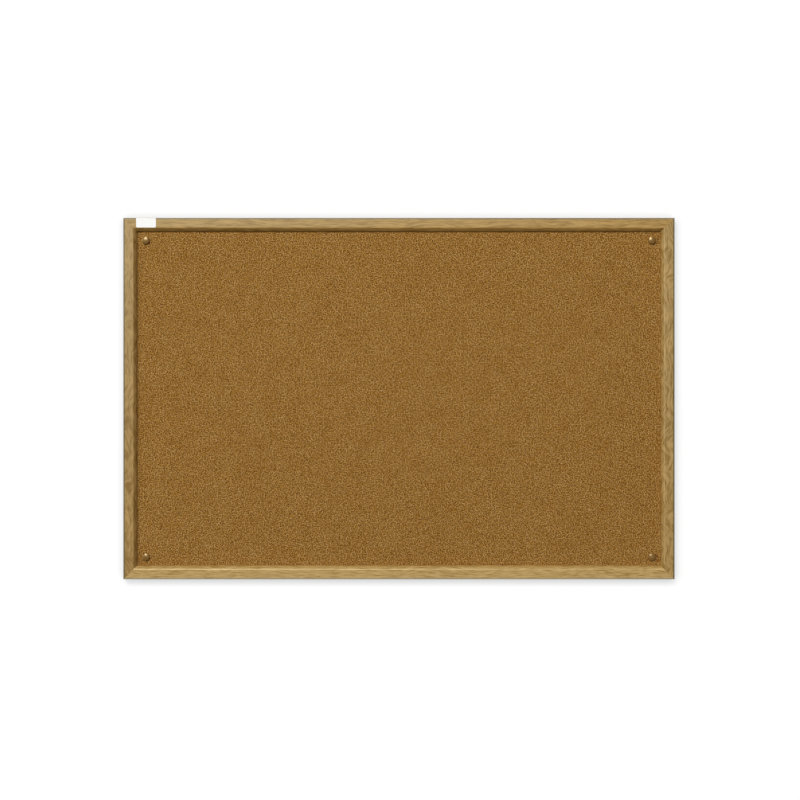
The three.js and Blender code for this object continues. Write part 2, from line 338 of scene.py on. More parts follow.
        # Painted shade: the print turns greyer and darker in a narrow band on the rounded outer edge.
        fades, gone = (arris + place for place in self.edge_shade_end)
        past_edge_shade = add_node(
            tree, "MapRange", {0: across, 1: fades, 2: gone}, interpolation_type="SMOOTHSTEP"
        ).outputs[0]
        starts, full = (arris - place for place in self.edge_shade_start)
        before_edge_shade = add_node(
            tree, "MapRange", {0: across, 1: full, 2: starts}, interpolation_type="SMOOTHSTEP"
        ).outputs[0]
        outside_edge_shade = add_node(
            tree, "Math", {0: past_edge_shade, 1: before_edge_shade}, operation="MAXIMUM"
        ).outputs[0]
        edge_shade_colour = add_node(
            tree, "VectorMath", {0: linear(self.painted_edge_shade)[:3], "Scale": shade}, operation="SCALE"
        ).outputs[0]
        colour = add_node(
            tree, "Mix", {0: outside_edge_shade, 6: edge_shade_colour, 7: print_colour}, data_type="RGBA"
        ).outputs[2]
        satin, duller = self.roughness
        rough = add_node(
            tree, "MapRange", {0: lines, 1: NOISE_LOW, 2: NOISE_HIGH, 3: satin, 4: duller}
        ).outputs[0]
        relief = add_node(tree, "Math", {0: pore_mask, 1: lines}).outputs[0]
        bump = add_node(tree, "Bump", {"Strength": 0.2, "Distance": 0.05 * MM, "Height": relief})
        finish_surface(
            tree,
            {
                "Base Color": colour,
                "Roughness": rough,
                "Specular IOR Level": 0.75,
                "Specular Tint": self.warm_gloss,
                "Normal": bump.outputs[0],
            },
        )
        return material


@dataclass(frozen=True)
class RawFibreboard:
    """Sawn medium-density fibreboard, where the foil doesn't reach: an even brown felt of fine fibres."""

    name: str = "fibreboard_sawn"
    fibre_mm: float = 0.8
    blotch_mm: float = 9.0

    def make(self) -> Material:
        """Builds the material of short pale and dark fibres with broad blotches."""
        material, tree = new_material(self.name)
        fibres = mottle(tree, self.fibre_mm, 3.0)
        blotches = mottle(tree, self.blotch_mm, 2.0)
        mixed = add_node(tree, "Mix", {0: 0.4, 2: fibres, 3: blotches}, data_type="FLOAT").outputs[0]
        colour = add_node(
            tree, "ValToRGB", {0: mixed}, stops=[(0.32, "#86684a"), (0.5, "#a3835d"), (0.68, "#b99a72")]
        ).outputs[0]
        bump = add_node(tree, "Bump", {"Strength": 0.5, "Distance": 0.1 * MM, "Height": fibres})
        finish_surface(
            tree,
            {
                "Base Color": colour,
                "Roughness": 0.9,
                "Specular IOR Level": 0.2,
                "Normal": bump.outputs[0],
            },
        )
        return material


@dataclass(frozen=True)
class GroundCork:
    """Ground cork bonded and sanded flat: packed granules of mixed browns, many with a dark core of bark.

    Attributes:
        granule_mm: The size of a coarse granule.
        grit_mm: The size of a fine one.
        ragged_mm: How far the granules' outlines are torn out of round.
        tears_per_mm: How fine the tears are.
        blotch_mm: The size of the warmer and cooler patches.
        scatter: How unevenly the coarse granules lie, from 0 for a grid to 1.
        grit_share: The share of the fine granules in the colour. The rest is the coarse ones'.
        core: The least and greatest radius of a granule's dark core, in granules.
        core_fade: The width over which the core fades out, in granules.
    """

    name: str = "cork_ground_and_sanded"
    granule_mm: float = 2.2
    grit_mm: float = 0.7
    ragged_mm: float = 0.85
    tears_per_mm: float = 1.1
    blotch_mm: float = 26.0
    scatter: float = 0.75
    grit_share: float = 0.92
    core: tuple[float, float] = (0.26, 0.33)
    core_fade: float = 0.16
    bark_dark: str = "#4e2600"
    bark_light: str = "#764a16"

    def make(self) -> Material:
        """Builds the material from two sizes of cell, which stand for coarse and fine granules."""
        material, tree = new_material(self.name)
        place = in_millimetres(tree, (1.0, 1.0, 1.0))
        torn = add_node(
            tree, "TexNoise", {"Vector": place, "Scale": self.tears_per_mm, "Detail": 3.0}
        ).outputs[1]
        torn = add_node(
            tree, "VectorMath", {0: torn, 1: (0.5, 0.5, 0.5)}, operation="SUBTRACT"
        ).outputs[0]
        torn = add_node(
            tree, "VectorMath", {0: torn, "Scale": 2 * self.ragged_mm}, operation="SCALE"
        ).outputs[0]
        ragged = add_node(tree, "VectorMath", {0: place, 1: torn}).outputs[0]
        face = add_node(tree, "SeparateXYZ", {0: ragged})
        # The cells are cut in the plane of the face, because a cut through solid ones gives uneven sizes.
        flat = add_node(tree, "CombineXYZ", {0: face.outputs[0], 1: face.outputs[2]}).outputs[0]
        settings = {"voronoi_dimensions": "2D", "feature": "F1"}
        granule = add_node(tree, "TexVoronoi", {"Vector": flat, "Scale": 1 / self.granule_mm}, **settings)
        granule.inputs["Randomness"].default_value = self.scatter
        grit = add_node(tree, "TexVoronoi", {"Vector": flat, "Scale": 1 / self.grit_mm}, **settings)
        own = add_node(tree, "SeparateColor", {0: granule.outputs["Color"]})
        fine = add_node(tree, "SeparateColor", {0: grit.outputs["Color"]}).outputs[0]
        tone = add_node(
            tree, "Mix", {0: self.grit_share, 2: own.outputs[0], 3: fine}, data_type="FLOAT"
        ).outputs[0]
        granules = add_node(
            tree,
            "ValToRGB",
            {0: tone},
            stops=[
                (0.1, "#93671e"),
                (0.35, "#9f762f"),
                (0.5, "#a77c3a"),
                (0.65, "#b08648"),
                (0.9, "#c09f68"),
            ],
        ).outputs[0]
        least, greatest = self.core
        core_edge = add_node(tree, "MapRange", {0: own.outputs[1], 3: least, 4: greatest}).outputs[0]
        past_core = add_node(
            tree, "Math", {0: granule.outputs["Distance"], 1: core_edge}, operation="SUBTRACT"
        ).outputs[0]
        core = add_node(tree, "MapRange", {0: past_core, 1: 0.0, 2: self.core_fade}).outputs[0]
        blotch = mottle(tree, self.blotch_mm, 2.0)
        warmth = add_node(
            tree, "ValToRGB", {0: blotch}, stops=[(0.35, "#f9f5ee"), (0.5, "#fdfbf8"), (0.65, "#ffffff")]
        ).outputs[0]
        bark = add_node(
            tree,
            "Mix",
            {0: own.outputs[2], 6: linear(self.bark_dark), 7: linear(self.bark_light)},
            data_type="RGBA",
        ).outputs[2]
        shaded = add_node(tree, "Mix", {0: core, 6: bark, 7: granules}, data_type="RGBA").outputs[2]
        colour = add_node(tree, "VectorMath", {0: shaded, 1: warmth}, operation="MULTIPLY").outputs[0]
        relief = add_node(tree, "Math", {0: tone, 1: core}, operation="MULTIPLY").outputs[0]
        bump = add_node(tree, "Bump", {"Strength": 0.35, "Distance": 0.2 * MM, "Height": relief})
        finish_surface(
            tree,
            {
                "Base Color": colour,
                "Roughness": 0.92,
                "Specular IOR Level": 0.12,
                "Normal": bump.outputs[0],
            },
        )
        return material


@dataclass(frozen=True)
class PressedFibre:
    """Wood fibre pressed into board: soft and pale, or hard, dark and smooth with a leathery mottle.

    Attributes:
        dark, middle, light: The colours of the fibres.
        fibre_mm: A fibre's width. It is three times as long.
        blotch_mm: The size of the broad blotches.
        roughness: The middle roughness.
        relief_mm: The height of the fibres.
        blotch_share: The share of the blotches in the colour. The rest is the fibres'.
        sheen_swing: How much the roughness goes up and down with the blotches.
    """

    name: str
    dark: str
    middle: str
    light: str
    fibre_mm: float
    blotch_mm: float
    roughness: float
    relief_mm: float
    blotch_share: float = 0.35
    sheen_swing: float = 0.08

    def make(self) -> Material:
        """Builds the material from long matted fibres over broad blotches."""
        material, tree = new_material(self.name)
        matted = in_millimetres(tree, (3 * self.fibre_mm, self.fibre_mm, self.fibre_mm))
        crossed = in_millimetres(tree, (self.fibre_mm, self.fibre_mm, 3 * self.fibre_mm), (5, 3, 1))
        first, second = (
            add_node(
                tree, "TexNoise", {"Vector": lay, "Scale": 1.0, "Detail": 3.0, "Distortion": 0.6}
            ).outputs[0]
            for lay in (matted, crossed)
        )
        fibres = add_node(tree, "Math", {0: first, 1: second}, operation="MAXIMUM").outputs[0]
        blotches = mottle(tree, self.blotch_mm, 4.0)
        mixed = add_node(
            tree, "Mix", {0: self.blotch_share, 2: fibres, 3: blotches}, data_type="FLOAT"
        ).outputs[0]
        colour = add_node(
            tree,
            "ValToRGB",
            {0: mixed},
            stops=[(0.4, self.dark), (0.52, self.middle), (0.68, self.light)],
        ).outputs[0]
        smoother, rougher = self.roughness - self.sheen_swing, self.roughness + self.sheen_swing
        rough = add_node(
            tree, "MapRange", {0: blotches, 1: NOISE_LOW, 2: NOISE_HIGH, 3: smoother, 4: rougher}
        ).outputs[0]
        relief = self.relief_mm * MM
        bump = add_node(tree, "Bump", {"Strength": 0.5, "Distance": relief, "Height": fibres})
        finish_surface(
            tree,
            {
                "Base Color": colour,
                "Roughness": rough,
                "Specular IOR Level": 0.35,
                "Normal": bump.outputs[0],
            },
        )
        return material


@dataclass(frozen=True)
class ZincPlate:
    """Steel with bright zinc plate: a cool grey metal, a little cloudy, with fine drawing marks."""

    name: str = "zinc_plated_steel"
    cloud_mm: float = 2.4
    mark_mm: float = 0.25
    roughness: tuple[float, float] = (0.26, 0.42)

    def make(self) -> Material:
        """Builds the material: cloudy patches in colour and gloss, and fine marks in the relief."""
        material, tree = new_material(self.name)
        clouds = mottle(tree, self.cloud_mm, 3.0)
        marks = add_node(
            tree,
            "TexNoise",
            {
                "Vector": in_millimetres(tree, (self.mark_mm, 8 * self.mark_mm, self.mark_mm)),
                "Scale": 1.0,
            },
        ).outputs[0]
        colour = add_node(
            tree, "ValToRGB", {0: clouds}, stops=[(0.3, "#a4a8ae"), (0.5, "#b8bbc0"), (0.7, "#c9cbcc")]
        ).outputs[0]
        smoother, rougher = self.roughness
        rough = add_node(
            tree, "MapRange", {0: clouds, 1: NOISE_LOW, 2: NOISE_HIGH, 3: smoother, 4: rougher}
        ).outputs[0]
        bump = add_node(tree, "Bump", {"Strength": 0.15, "Distance": 0.03 * MM, "Height": marks})
        finish_surface(
            tree,
            {"Base Color": colour, "Metallic": 1.0, "Roughness": rough, "Normal": bump.outputs[0]},
        )
        return material


@dataclass(frozen=True)
class TanPlastic:
    """Moulded polyethylene in wood brown: a soft even gloss with faint flow clouds and fine rubbing."""

    name: str = "polyethylene_moulded_tan"
    cloud_mm: float = 3.0
    grain_mm: float = 0.18
    roughness: tuple[float, float] = (0.24, 0.34)
    warm_gloss: Colour = (1.0, 0.78, 0.42, 1.0)

    def make(self) -> Material:
        """Builds the material: faint clouds in the colour, fine grain in the relief."""
        material, tree = new_material(self.name)
        clouds = mottle(tree, self.cloud_mm, 2.0)
        grain = mottle(tree, self.grain_mm, 2.0)
        colour = add_node(
            tree, "ValToRGB", {0: clouds}, stops=[(0.3, "#725226"), (0.5, "#7a592a"), (0.7, "#83612e")]
        ).outputs[0]
        smoother, rougher = self.roughness
        rough = add_node(
            tree, "MapRange", {0: grain, 1: NOISE_LOW, 2: NOISE_HIGH, 3: smoother, 4: rougher}
        ).outputs[0]
        bump = add_node(tree, "Bump", {"Strength": 0.12, "Distance": 0.02 * MM, "Height": grain})
        finish_surface(
            tree,
            {
                "Base Color": colour,
                "Roughness": rough,
                "Specular IOR Level": 1.0,
                "Specular Tint": self.warm_gloss,
                "Normal": bump.outputs[0],
            },
        )
        return material


@dataclass(frozen=True)
class LabelPaper:
    """Coated self-adhesive paper, bare: a cool white with the faintest clouds and a low sheen."""

    name: str = "paper_coated_white"
    cloud_mm: float = 1.6
    fibre_mm: float = 0.12
    roughness: tuple[float, float] = (0.42, 0.55)

    def make(self) -> Material:
        """Builds the material: faint clouds in the colour, paper tooth in the relief."""
        material, tree = new_material(self.name)
        clouds = mottle(tree, self.cloud_mm, 4.0)
        tooth = mottle(tree, self.fibre_mm, 2.0)
        colour = add_node(
            tree, "ValToRGB", {0: clouds}, stops=[(0.3, "#e9e9e6"), (0.5, "#f1f1ee"), (0.7, "#f7f7f4")]
        ).outputs[0]
        smoother, rougher = self.roughness
        rough = add_node(
            tree, "MapRange", {0: tooth, 1: NOISE_LOW, 2: NOISE_HIGH, 3: smoother, 4: rougher}
        ).outputs[0]
        bump = add_node(tree, "Bump", {"Strength": 0.2, "Distance": 0.01 * MM, "Height": tooth})
        finish_surface(tree, {"Base Color": colour, "Roughness": rough, "Normal": bump.outputs[0]})
        return material


def merged_copy(node: str) -> BMesh:
    """Copies a CAD node's mesh with its loose triangles joined into whole faces.

    Args:
        node: The node's name.

    Returns:
        The mesh, ready to be worked on.
    """
    mesh = bmesh.new()
    mesh.from_mesh(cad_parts[node].data)
    bmesh.ops.remove_doubles(mesh, verts=mesh.verts, dist=1e-6)
    bmesh.ops.dissolve_limit(mesh, angle_limit=math.radians(0.5), verts=mesh.verts, edges=mesh.edges)
    return mesh


def turns_sharply(edge: BMEdge, least_turn: float) -> bool:
    """Whether the surface turns at an edge by more than an angle in degrees."""
    return len(edge.link_faces) == 2 and edge.calc_face_angle() > math.radians(least_turn)


def round_edges(mesh: BMesh, edges: Iterable[BMEdge], width: float) -> None:
    """Rounds edges in two steps.

    Args:
        mesh: The mesh to change.
        edges: The edges.
        width: The width of the rounding.
    """
    bmesh.ops.bevel(
        mesh,
        geom=list(edges),
        offset=width,
        affect="EDGES",
        segments=2,
        profile=0.5,
        material=-1,
        clamp_overlap=True,
    )


def cut_faces(mesh: BMesh, faces: list[BMFace], place: Vector, side: Vector) -> None:
    """Cuts faces in two along a plane.

    Args:
        mesh: The mesh to change.
        faces: The faces.
        place: A point of the plane.
        side: The direction that the plane faces.
    """
    edges = dict.fromkeys(e for f in faces for e in f.edges)
    verts = dict.fromkeys(v for f in faces for v in f.verts)
    bmesh.ops.bisect_plane(mesh, geom=[*faces, *edges, *verts], plane_co=place, plane_no=side)


def finished_piece(name: str, mesh: BMesh, materials: list[Material]) -> Object:
    """Turns a mesh into a finished object with smooth shading between its sharp edges.

    Args:
        name: The object's name.
        mesh: The mesh, which is used up.
        materials: The object's materials, in the order of the faces' numbers.

    Returns:
        The object, at the origin.
    """
    data = bpy.data.meshes.new(name)
    mesh.to_mesh(data)
    mesh.free()
    data.shade_smooth()
    data.set_sharp_from_angle(angle=math.radians(SHARP_TURN))
    for material in materials:
        data.materials.append(material)
    piece = bpy.data.objects.new(name, data)
    bpy.context.scene.collection.objects.link(piece)
    weighted = piece.modifiers.new("shade by the larger face", "WEIGHTED_NORMAL")
    weighted.keep_sharp = True
    return piece


def put_in_place(piece: Object, node: str, body: str) -> None:
    """Lets a piece stand for a CAD node and ride on the node's body.

    Args:
        piece: The piece.
        node: The CAD node that it stands for.
        body: The body that it rides on.
    """
    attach(piece, body)
    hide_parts(node)
    LOG.info("%s: %d faces on %s", piece.name, len(piece.data.polygons), body)


def dress(node: str, material: Material) -> None:
    """Gives a CAD node that keeps its own mesh its finish.

    Args:
        node: The node's name.
        material: The finish.
    """
    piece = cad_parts[node]
    for slot in piece.material_slots:
        slot.material = material
    LOG.info("%s: dressed in %s", node, material.name)


@dataclass
class FrameMember:
    """A rail or stile: a mitred fibreboard moulding with foil on all that shows from the front.

    Attributes:
        outward: The direction from the middle of the board to the member.
        fibreboard: The material of what the foil leaves bare.
        reach: How far the frame's outer edge lies from the middle of the board.
        shoulder_inset: How far in from the outer edge the inner slope starts.
        arris_radius: The radius of the rounded outer edge.
        back_wrap: How far the foil is turned onto the back.
        mitre_fill: How much each end is let out, to close the mitres up to a hairline.
        eased: The rounding of the mitres' edges.
        mitre_turn: The smallest turn of an edge that is rounded there, in degrees.
        flush: How near a point lies to a plane to count as in it.
    """

    node: str
    outward: Vector
    finish: OakFoil
    fibreboard: Material
    reach: float
    shoulder_inset: float = 15.2 * MM
    arris_radius: float = 1.8 * MM
    back_wrap: float = 4.5 * MM
    mitre_fill: float = 0.11 * MM
    eased: float = 0.06 * MM
    mitre_turn: float = 30
    flush: float = 0.01 * MM

    def __post_init__(self) -> None:
        """Takes the member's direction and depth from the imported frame."""
        self.along = self.outward.cross(FORWARD)
        self.depth = -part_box(self.node)[0].y

    def inward(self, point: Vector) -> float:
        """How far a point lies from the frame's outer edge."""
        return self.reach - point.dot(self.outward)

    def round_section(self, point: Vector, on_back: bool) -> float:
        """How far round the section a point lies, from the outer edge of the back.

        Args:
            point: The point.
            on_back: Whether it belongs to the strip of foil that is turned onto the back.

        Returns:
            The distance, which is negative on the back.
        """
        inward, depth = self.inward(point), -point.y
        if on_back:
            return -inward
        if inward <= self.shoulder_inset:
            return depth + inward
        slope = math.hypot(inward - self.shoulder_inset, self.depth - depth)
        return self.depth + self.shoulder_inset + slope

    def is_on_back(self, face: BMFace) -> bool:
        """Whether a face lies in the plane of the back."""
        return face.calc_center_median().y > -self.flush

    def is_foiled(self, face: BMFace) -> bool:
        """Whether a face carries foil, and isn't a mitre, the rebate, a pocket or the bare back.

        Args:
            face: The face.

        Returns:
            True where it carries foil.
        """
        inward = self.inward(face.calc_center_median())
        looks_along = abs(face.normal.dot(self.along)) > 0.3
        if looks_along:
            return False
        if self.is_on_back(face):
            return inward < self.back_wrap
        is_outer_side = inward < self.flush
        looks_forward = face.normal.dot(FORWARD) > 0.02
        # The lip's blunt edge turns towards the middle of the board.
        is_lip_edge = inward > self.shoulder_inset and face.normal.dot(self.outward) < -0.9
        return is_outer_side or looks_forward or is_lip_edge

    def build(self) -> Object:
        """Builds the member from its CAD solid, with eased mitres and a map for the foil.

        Returns:
            The finished object.
        """
        mesh = merged_copy(self.node)
        back = [f for f in mesh.faces if self.is_on_back(f)]
        cut_faces(mesh, back, self.outward * (self.reach - self.back_wrap), self.outward)
        mitres = [f for f in mesh.faces if abs(f.normal.dot(self.along)) > 0.6]
        # The mitres are closed up to a hairline, which the CAD solid holds a little wider.
        for vert in {v for f in mitres for v in f.verts}:
            vert.co += self.along * math.copysign(self.mitre_fill, vert.co.dot(self.along))
        rims = dict.fromkeys(
            e
            for f in mitres
            for e in f.edges
            if turns_sharply(e, self.mitre_turn) and e.verts[0].co.y < -self.flush
        )
        round_edges(mesh, rims, self.eased)
        foil_map = mesh.loops.layers.uv.new("foil")
        for face in mesh.faces:
            face.material_index = 0 if self.is_foiled(face) else 1
            on_back = self.is_on_back(face)
            for loop in face.loops:
                point = loop.vert.co
                loop[foil_map].uv = (point.dot(self.along), self.round_section(point, on_back))
        arris = (self.depth + self.arris_radius) / MM
        materials = [self.finish.make(arris), self.fibreboard]
        piece = finished_piece(f"{self.node}_moulding", mesh, materials)
        put_in_place(piece, self.node, "board")
        return piece


@dataclass
class WallFixing:
    """A capped wall screw: the screw, the cup under its head and the push-on cap.

    Attributes:
        place: The corner of the board, as it stands in the nodes' names.
        cap_edge: The radius of the cap's rounded edge.
        cap_lean: The slope of the cap's crown where the rounded edge starts.
        seat: The radius of the cup's opening for the head.
        seat_drop: How far the cone for the head starts behind the cup's front.
        bore: The radius of the hole through the cup.
        cup_turn: The smallest turn of a cup's edge that is rounded, in degrees.
        shank: The radius of the screw's shank.
        head_rim: The height of the straight rim round the screw's head.
        point_length: The length of the screw's tapered end.
        plain_length: How far behind the head's face the thread starts.
        recess_reach: How far the cross recess reaches from the axis.
        recess_half_slot: Half the width of the recess's slots.
        recess_taper: The size of the recess's floor, as a share of its opening.
        thread_root: The radius at which the thread's ridge is set in, as a share of the shank's.
        thread_crest: The radius of the ridge's sharp crest.
        thread_half_width: Half the ridge's width at its root.
        thread_pitch: How far the ridge advances with each turn.
        least_taper: The share of its radius that the ridge keeps at the screw's tip.
        flush: How near a point lies to a plane to count as in it.
    """

    place: str
    plastic: Material
    steel: Material
    turn_steps: int = 64
    cap_wall: float = 1.1 * MM
    cap_edge: float = 1.3 * MM
    cap_lean: float = math.radians(18)
    crown_steps: int = 6
    edge_steps: int = 9
    seat: float = 4.15 * MM
    seat_drop: float = 0.35 * MM
    bore: float = 2.3 * MM
    neck_wall: float = 1.0 * MM
    flange: float = 1.8 * MM
    cup_rounding: float = 0.14 * MM
    cup_turn: float = 30
    shank: float = 1.4 * MM
    head_rim: float = 0.25 * MM
    point_length: float = 5 * MM
    plain_length: float = 13 * MM
    recess_reach: float = 2.2 * MM
    recess_half_slot: float = 0.55 * MM
    recess_depth: float = 1.5 * MM
    recess_taper: float = 0.6
    thread_root: float = 0.7
    thread_crest: float = 2.0 * MM
    thread_half_width: float = 0.6 * MM
    thread_pitch: float = 2.0 * MM
    thread_steps: int = 20
    least_taper: float = 0.05
    flush: float = 0.001 * MM

    def __post_init__(self) -> None:
        """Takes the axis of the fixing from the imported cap."""
        low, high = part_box(f"screw_cap_{self.place}")
        self.axis = Vector(((low.x + high.x) / 2, 0, (low.z + high.z) / 2))

    def point(self, radius: float, depth: float) -> Vector:
        """A point of a turned profile, to the right of the axis."""
        return self.axis + Vector((radius, -depth, 0))

    def line(self, mesh: BMesh, corners: list[tuple[float, float]], closed: bool) -> None:
        """Draws a profile as edges.

        Args:
            mesh: The mesh to draw in.
            corners: The radius and the depth of each corner.
            closed: Whether the last corner is joined to the first.
        """
        verts = [mesh.verts.new(self.point(*corner)) for corner in corners]
        pairs = list(zip(verts, verts[1:]))
        if closed:
            pairs.append((verts[-1], verts[0]))
        for pair in pairs:
            mesh.edges.new(pair)

    def turn(self, mesh: BMesh) -> None:
        """Turns the drawn profile round the axis into a closed skin."""
        bmesh.ops.spin(
            mesh,
            geom=[*mesh.verts, *mesh.edges],
            cent=self.axis,
            axis=FORWARD,
            angle=2 * math.pi,
            steps=self.turn_steps,
            use_merge=True,
        )
        bmesh.ops.remove_doubles(mesh, verts=mesh.verts, dist=1e-7)
        bmesh.ops.recalc_face_normals(mesh, faces=mesh.faces)

    def build_cap(self) -> Object:
        """Builds the cap: a button with a rounded edge and a low crown, hollow behind."""
        node = f"screw_cap_{self.place}"
        low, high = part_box(node)
        radius, rim, crown = (high.x - low.x) / 2, -high.y, -low.y
        edge_radius, lean = self.cap_edge, self.cap_lean
        crown_radius = (radius - edge_radius) / math.sin(lean) + edge_radius
        mesh = bmesh.new()
        # The crown's arc and the edge's arc are swept by turning one point about each centre in turn.
        tip = mesh.verts.new(self.point(0, crown))
        swept = bmesh.ops.spin(
            mesh,
            geom=[tip],
            cent=self.point(0, crown - crown_radius),
            axis=(0, 0, 1),
            angle=lean,
            steps=self.crown_steps,
        )["geom_last"]
        edge_centre_depth = crown - crown_radius + (crown_radius - edge_radius) * math.cos(lean)
        swept = bmesh.ops.spin(
            mesh,
            geom=[v for v in swept if isinstance(v, BMVert)],
            cent=self.point(radius - edge_radius, edge_centre_depth),
            axis=(0, 0, 1),
            angle=math.pi / 2 - lean,
            steps=self.edge_steps,
        )["geom_last"]
        last = next(v for v in swept if isinstance(v, BMVert))
        foot = mesh.verts.new(self.point(radius, rim))
        mesh.edges.new((last, foot))
        self.turn(mesh)
        for face in mesh.faces:
            outward = face.calc_center_median() - self.point(0, rim)
            if face.normal.dot(outward) < 0:
                face.normal_flip()
        bmesh.ops.solidify(mesh, geom=mesh.faces, thickness=self.cap_wall)
        bmesh.ops.recalc_face_normals(mesh, faces=mesh.faces)
        piece = finished_piece(f"{node}_button", mesh, [self.plastic])
        put_in_place(piece, node, f"cap_{self.place}")
        return piece

    def build_cup(self) -> Object:
        """Builds the cup: a flange on the cork, a cone for the head and a neck in the panel's hole."""
        node = f"cap_base_{self.place}"
        low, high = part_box(node)
        radius, front, neck_back = (high.x - low.x) / 2, -low.y, -high.y
        neck, seat_front = self.bore + self.neck_wall, front - self.seat_drop
        mesh = bmesh.new()
        corners = [
            (self.bore, neck_back),
            (neck, neck_back),
            (neck, front - self.flange),
            (radius, front - self.flange),
            (radius, front),
            (self.seat, front),
            (self.seat, seat_front),
            (self.bore, seat_front - (self.seat - self.bore)),
        ]
        self.line(mesh, corners, closed=True)
        self.turn(mesh)
        round_edges(mesh, [e for e in mesh.edges if turns_sharply(e, self.cup_turn)], self.cup_rounding)
        piece = finished_piece(f"{node}_cup", mesh, [self.plastic])
        put_in_place(piece, node, "board")
        return piece

    def build_screw(self) -> Object:
        """Builds the screw: a countersunk head with a cross recess, a shank and a rolled thread."""
        node = f"wall_screw_{self.place}"
        low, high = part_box(node)
        head, front, tip = (high.x - low.x) / 2, -low.y, -high.y
        cone = front - self.head_rim
        mesh = bmesh.new()
        corners = [
            (0, front),
            (head, front),
            (head, cone),
            (self.shank, cone - (head - self.shank)),
            (self.shank, tip + self.point_length),
            (0, tip),
        ]
        self.line(mesh, corners, closed=False)
        self.turn(mesh)
        self.cut_recess(mesh, front)
        self.wind_thread(mesh, front - self.plain_length, tip)
        piece = finished_piece(f"{node}_steel", mesh, [self.steel])
        put_in_place(piece, node, "board")
        return piece

    def cut_recess(self, mesh: BMesh, front: float) -> None:
        """Sinks a cross into the screw's head.

        Args:
            mesh: The screw's mesh.
            front: The depth of the head's face.
        """
        reach, slot, taper = self.recess_reach, self.recess_half_slot, self.recess_taper
        # The head's face is cut along the slots' eight lines and the cross that they bound is pushed in.
        for across in (Vector((1, 0, 0)), Vector((0, 0, 1))):
            for offset in (-reach, -slot, slot, reach):
                cut_faces(mesh, self.head_faces(mesh, front), self.axis + across * offset, across)
        cross = []
        for face in self.head_faces(mesh, front):
            place = face.calc_center_median() - self.axis
            wide, high = abs(place.x), abs(place.z)
            if min(wide, high) < slot and max(wide, high) < reach:
                cross.append(face)
        pushed = bmesh.ops.extrude_face_region(mesh, geom=cross)["geom"]
        bmesh.ops.delete(mesh, geom=cross, context="FACES_ONLY")
        floor = [v for v in pushed if isinstance(v, BMVert)]
        shrink = Matrix.Diagonal((taper, 1, taper, 1))
        shrink = Matrix.Translation(self.axis) @ shrink @ Matrix.Translation(-self.axis)
        bmesh.ops.transform(mesh, matrix=shrink, verts=floor)
        bmesh.ops.translate(mesh, vec=-FORWARD * self.recess_depth, verts=floor)

    def head_faces(self, mesh: BMesh, front: float) -> list[BMFace]:
        """Finds the flat face of the screw's head.

        Args:
            mesh: The screw's mesh.
            front: The depth of the head's face.

        Returns:
            The faces that make it up.
        """
        ahead = [f for f in mesh.faces if f.normal.dot(FORWARD) > 0.99]
        return [f for f in ahead if -f.calc_center_median().y > front - self.flush]

    def wind_thread(self, mesh: BMesh, start: float, tip: float) -> None:
        """Winds a sharp ridge round the shank, which rises over its first turn and tapers at the point.

        Args:
            mesh: The screw's mesh.
            start: The depth at which the ridge starts.
            tip: The depth of the screw's point.
        """
        root, foot = self.thread_root * self.shank, self.thread_half_width
        turns = (start - tip - self.thread_pitch) / self.thread_pitch
        corners = [(root, start + foot), (self.thread_crest, start), (root, start - foot)]
        face = mesh.faces.new([mesh.verts.new(self.point(*corner)) for corner in corners])
        bmesh.ops.spin(
            mesh,
            geom=[face],
            cent=self.axis,
            axis=FORWARD,
            dvec=-FORWARD * (self.thread_pitch / self.thread_steps),
            angle=2 * math.pi * turns,
            steps=round(turns * self.thread_steps),
        )
        ridge = self.joined_faces(face)
        for vert in {v for f in ridge for v in f.verts}:
            depth = -vert.co.y
            rising = min(1, max(0, (start - depth) / self.thread_pitch))
            taper = min(1, max(self.least_taper, (depth - tip) / self.point_length))
            away = vert.co - self.axis
            away.y = 0
            radius = away.length
            wanted = (root + (radius - root) * rising) * taper
            vert.co += away.normalized() * (wanted - radius)
        bmesh.ops.recalc_face_normals(mesh, faces=list(ridge))

    @staticmethod
    def joined_faces(start: BMFace) -> set[BMFace]:
        """Finds the faces that are joined to one face by edges.

        Args:
            start: The one face.

        Returns:
            All the faces, with the one among them.
        """
        found, waiting = {start}, [start]
        while waiting:
            for edge in waiting.pop().edges:
                for face in edge.link_faces:
                    if face not in found:
                        found.add(face)
                        waiting.append(face)
        return found

    def build(self) -> None:
        """Builds the three pieces of the fixing."""
        self.build_cap()
        self.build_cup()
        self.build_screw()


@dataclass
class Panel:
    """The layered panel: cork in front, softboard behind it, and hardboard that closes the back."""

    cork: GroundCork = GroundCork()
    softboard: PressedFibre = PressedFibre(
        "softboard_pressed", "#7d6a4c", "#9a8666", "#b3a27f", 0.9, 7.0, 0.92, 0.25
    )
    hardboard: PressedFibre = PressedFibre(
        "hardboard_pressed_smooth", "#48301d", "#6a482c", "#8d6743", 1.4, 12.0, 0.55, 0.05
    )

    def build(self) -> None:
        """Dresses the three sheets, whose CAD solids are already the real shape."""
        dress("cork_sheet", self.cork.make())
        dress("fibre_core", self.softboard.make())
        dress("hardboard_back", self.hardboard.make())


@dataclass
class BackHardware:
    """The steel behind: V-shaped nails across the mitres and staples across the panel's seam."""

    steel: Material
    staple_rounding: float = 0.18 * MM
    nail_rounding: float = 0.08 * MM
    least_turn: float = 20

    def build(self) -> None:
        """Builds each nail and staple from its CAD solid with rounded edges."""
        for node in sorted(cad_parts):
            if "_staple_" in node:
                self.build_wire(node, self.staple_rounding)
            elif node.startswith("corner_nail_"):
                self.build_wire(node, self.nail_rounding)

    def build_wire(self, node: str, rounding: float) -> None:
        """Builds one bent piece of wire or strip.

        Args:
            node: The CAD node.
            rounding: The rounding of its edges.
        """
        mesh = merged_copy(node)
        round_edges(mesh, [e for e in mesh.edges if turns_sharply(e, self.least_turn)], rounding)
        piece = finished_piece(f"{node}_wire", mesh, [self.steel])
        put_in_place(piece, node, "board")


